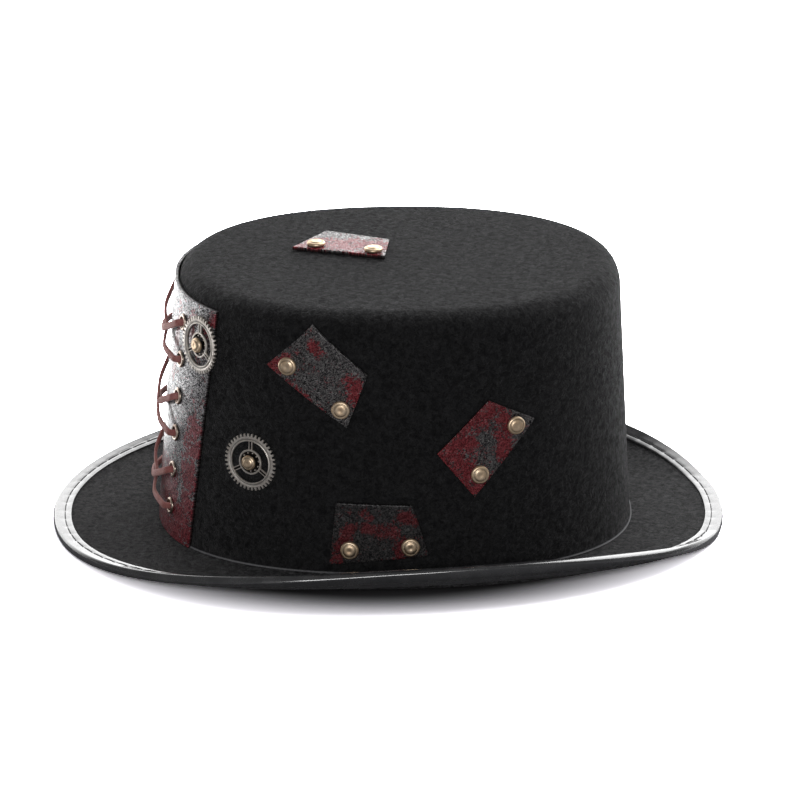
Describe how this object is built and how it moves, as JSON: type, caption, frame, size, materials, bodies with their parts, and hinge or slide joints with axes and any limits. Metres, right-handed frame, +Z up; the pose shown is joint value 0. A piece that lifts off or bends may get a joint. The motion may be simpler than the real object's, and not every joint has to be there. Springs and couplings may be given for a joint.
{
  "type": "steampunk top hat",
  "caption": "Black felt top hat with a rolled, bound brim, a laced leather panel, cut-out gears and riveted leather patches. It rests on its brim and is open below for a head.",
  "frame": {"origin": "on the ground that the brim rests on, at the middle of the hat's outline seen from above", "axes": "the hat's front, with the laced panel, faces -Y; the wearer's left, with the gears and patches, is +X; +Z is up"},
  "size_m": [0.2244, 0.294, 0.1239],
  "materials": {
    "black_felt": "matte, finely fuzzy felt",
    "glossy_binding": "glossy, stitched",
    "panel_leather": "distressed, semi-gloss",
    "patch_leather": "distressed, semi-gloss",
    "antique_brass": "aged satin",
    "antique_gear_metal": "aged, dark in its hollows",
    "suede_lace": "matte suede"
  },
  "bodies": {
    "root": {"crown": "black_felt", "brim": "black_felt", "brim_binding": "glossy_binding", "lace_panel": "panel_leather", "lace": "suede_lace", "eyelet_left_1": "antique_brass", "eyelet_left_2": "antique_brass", "eyelet_left_3": "antique_brass", "eyelet_left_4": "antique_brass", "eyelet_left_5": "antique_brass", "eyelet_left_6": "antique_brass", "eyelet_right_1": "antique_brass", "eyelet_right_2": "antique_brass", "eyelet_right_3": "antique_brass", "eyelet_right_4": "antique_brass", "eyelet_right_5": "antique_brass", "eyelet_right_6": "antique_brass", "gear_on_panel": "antique_gear_metal", "gear_on_panel_rivet": "antique_brass", "gear_on_crown": "antique_gear_metal", "gear_on_crown_rivet": "antique_brass", "patch_upper": "patch_leather", "patch_upper_rivet_1": "antique_brass", "patch_upper_rivet_2": "antique_brass", "patch_rear": "patch_leather", "patch_rear_rivet_1": "antique_brass", "patch_rear_rivet_2": "antique_brass", "patch_lower": "patch_leather", "patch_lower_rivet_1": "antique_brass", "patch_lower_rivet_2": "antique_brass", "patch_tip": "patch_leather", "patch_tip_rivet_1": "antique_brass", "patch_tip_rivet_2": "antique_brass"}
  },
  "joints": []
}
